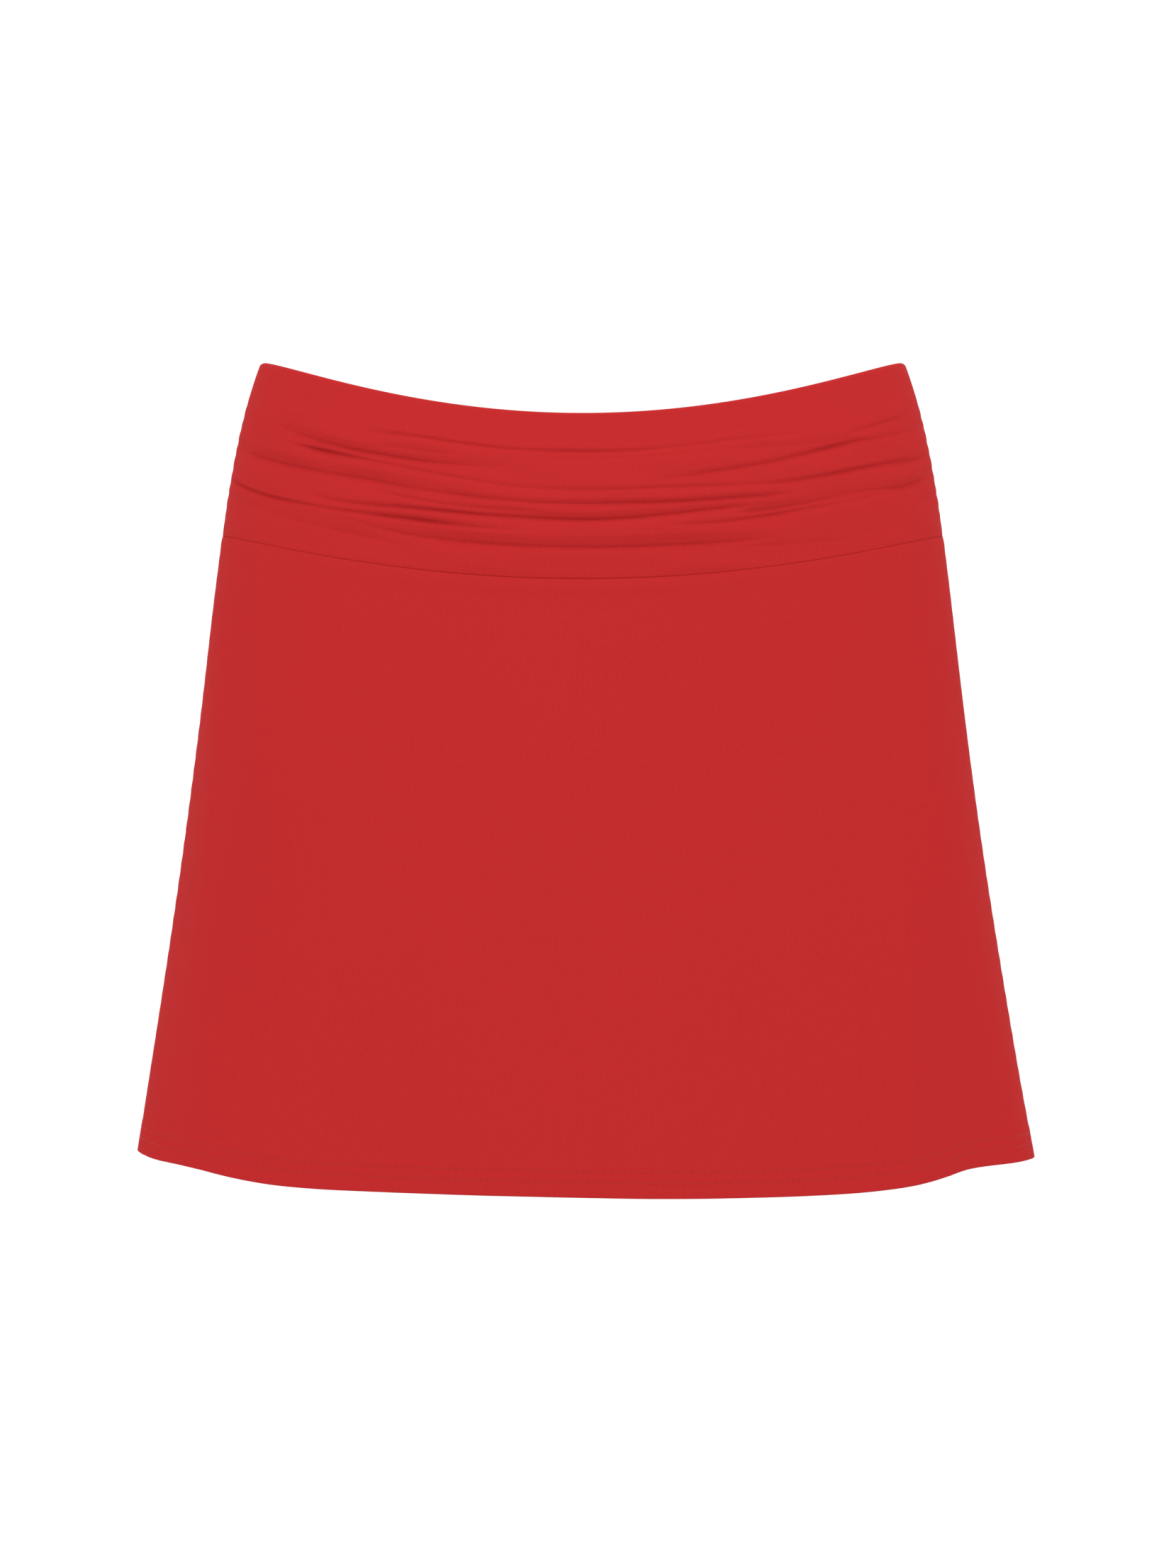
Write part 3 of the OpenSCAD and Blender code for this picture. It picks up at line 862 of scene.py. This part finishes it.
def hem_needle_rows():
    """Separate stitches that dip into the cloth at each end."""
    lines = []
    shares = np.array([0.05, 0.12, 0.3, 0.7, 0.88, 0.95])
    depths = np.array([0.3, 0.06, -0.03, -0.03, 0.06, 0.3])
    for row in HEM_ROWS:
        turns = turns_along(row, -90, 270, HEM_PITCH)
        for a, b in zip(turns[:-1], turns[1:]):
            t = a + (b - a) * shares
            lines.append(place(t, row, depths - skirt_relief(t, np.full_like(t, row))))
    dress(tubes("hem_needle_thread", lines, NEEDLE_R, 6), "thread", "hem_needle_stitches")


def hem_looper_rows():
    """Looper threads that cover the raw edge of the hem inside."""
    turns = turns_along(HEM_ROW, -90, 270, HEM_PITCH)
    inside = 2 * KNIT_T + PLY_GAP + THREAD_AIR + THREAD_R
    high, low = HEM_ROW - 0.6, HEM_ROW + STITCH_GAP + 0.4
    mid = HEM_ROW + STITCH_GAP / 2
    patterns = [
        [(0.0, high, inside), (0.45, low, inside + 0.05), (0.55, low, inside)],
        [(0.0, low, inside + 0.1), (0.45, high, inside + 0.15), (0.55, high, inside + 0.1)],
        [(0.0, mid, inside + 0.2), (0.5, mid + 0.8, inside + 0.2)],
    ]
    lines = [around(turns, pattern, skirt_relief) for pattern in patterns]
    dress(tubes("hem_looper_thread", lines, THREAD_R, 5), "thread", "hem_looper_stitches")


elastic_zigzag()
waist_overlock()
side_overlock("left", LEFT, 1)
side_overlock("right", RIGHT, -1)
band_overlock("left", LEFT, 1)
band_overlock("right", RIGHT, -1)
hem_needle_rows()
hem_looper_rows()

# ---------------------------------------------------------------- labels

LABEL_T = 0.22

# Size label: its length, the radius of its fold, and half the turn that it and its stitches span
SIZE_LABEL_LENGTH, SIZE_LABEL_FOLD = 15.8, 0.19
SIZE_LABEL_TURN, SIZE_LABEL_STITCHED = 3.7, 3.4

# Care label: its edges as drops, the turn from the seam to its fold, the radius of the fold, and
# how far its free end curls in
CARE_LABEL_TOP, CARE_LABEL_LOW = 150.5, 181.5
CARE_LABEL_REACH, CARE_LABEL_FOLD, CARE_LABEL_CURL = 19.0, 0.35, 3.2


def size_label():
    """Small folded loop label at centre back, sewn to the lining along its top edge."""
    centre = 180
    top, near, fold = ELASTIC_W + 4, INSIDE_AT + 0.26, SIZE_LABEL_FOLD
    low = top + SIZE_LABEL_LENGTH
    line = [(d, near) for d in even(top, low - fold, 1.0)]
    line += arc(low - fold, near + fold, fold, 285, 435, 5)
    line += [(d, near + 2 * fold) for d in even(low - fold, top, 1.0)]
    turns = even(centre - SIZE_LABEL_TURN, centre + SIZE_LABEL_TURN, 0.5)
    label = sweep("size_label_ribbon", line, LABEL_T, turns, lining_relief)
    dress(label, "label_satin", "size_label")
    face = near + 2 * fold + LABEL_T / 2
    row = top + 1.6
    sink = np.array([0.2, -0.08, -0.12, -0.08, 0.2])
    ends = even(centre - SIZE_LABEL_STITCHED, centre + SIZE_LABEL_STITCHED, 0.34)
    lines = []
    for a, b in zip(ends[0::2], ends[1::2]):
        t = np.linspace(a, b + 0.2, 5)
        lines.append(place(t, row, face - sink - lining_relief(t, np.full_like(t, row))))
    thread = tubes("size_label_thread", lines, LABEL_THREAD_R, 5)
    dress(thread, "thread", "size_label_stitches")


def care_label():
    """Two plies of ribbon caught in the left side seam, folded at their free end and curling in."""
    near, fold = 3.15, CARE_LABEL_FOLD
    first, last = LEFT + 0.6, LEFT + CARE_LABEL_REACH

    def curl(turn):
        return CARE_LABEL_CURL * ((turn - LEFT) / CARE_LABEL_REACH) ** 2

    out = [(t, near + curl(t)) for t in even(first, last, 1.0)]
    bend = []
    for a in np.radians([30, 60, 90, 120, 150]):
        beyond = fold / MM_PER_DEGREE * math.sin(a)
        bend.append((last + beyond, near + curl(last) + fold * (1 - math.cos(a))))
    back = [(t, near + curl(t) + 2 * fold) for t in even(last, first, 1.0)]
    drops = even(CARE_LABEL_TOP, CARE_LABEL_LOW, 2.0)
    label = ribbon("care_label_ribbon", out + bend + back, LABEL_T, drops, skirt_relief)
    dress(label, "label_satin", "care_label")


size_label()
care_label()

# ---------------------------------------------------------------- stage, lights and camera

HEM_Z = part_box("front_skirt_panel")[0].z
FLOOR_BELOW = 0.9


def plain_material(name, color, roughness):
    """One even colour, for the stage."""
    material = bpy.data.materials.new(name)
    n = Nodes(material)
    n.sets(Base_Color=(*color, 1), Roughness=roughness, Specular_IOR_Level=0.1)
    return material


def floor():
    """Pale floor, well below the skirt."""
    half = 12.0
    z = HEM_Z - FLOOR_BELOW
    corners = [(-half, -half, z), (half, -half, z), (half, half, z), (-half, half, z)]
    plane = new_object("floor", corners, [(0, 1, 2, 3)], smooth=False)
    plane.data.materials.append(plain_material("pale_floor", (0.97, 0.97, 0.97), 0.9))


def soft_light(name, place_m, aim, size, watts):
    """Square soft box at a place, turned to its aim, with its side in metres."""
    lamp = bpy.data.lights.new(name, "AREA")
    lamp.shape = "SQUARE"
    lamp.size = size
    lamp.energy = watts
    obj = bpy.data.objects.new(name, lamp)
    obj.location = place_m
    obj.rotation_euler = (Vector(aim) - Vector(place_m)).to_track_quat("-Z", "Y").to_euler()
    bpy.context.scene.collection.objects.link(obj)


def white_surroundings(strength):
    """Plain white light from all round."""
    world = bpy.data.worlds.new("white_studio")
    world.use_nodes = True
    background = world.node_tree.nodes["Background"]
    background.inputs["Color"].default_value = (1, 1, 1, 1)
    background.inputs["Strength"].default_value = strength
    bpy.context.scene.world = world


def camera():
    """Long lens in front of the skirt, a little below its waist, tipped slightly down."""
    away, tilt = 2.3, math.radians(1.3)
    sensor, view_h = 36.0, 0.7373
    data = bpy.data.cameras.new("camera")
    data.sensor_width = sensor
    data.lens = sensor * away / view_h
    obj = bpy.data.objects.new("camera", data)
    obj.location = (0.0025, -away, -0.145)
    obj.rotation_euler = (math.radians(90) - tilt, 0, 0)
    bpy.context.scene.collection.objects.link(obj)
    bpy.context.scene.camera = obj


floor()
white_surroundings(1.05)
soft_light("key", (0, -1.5, 1.45), (0, 0, -0.1), 1.6, 12.0)
soft_light("left_fill", (1.6, -0.7, 1.3), (0, 0, -0.1), 1.2, 8.0)
soft_light("right_fill", (-1.6, -0.7, 1.3), (0, 0, -0.1), 1.2, 8.0)
camera()
bpy.context.scene.view_settings.view_transform = "Standard"
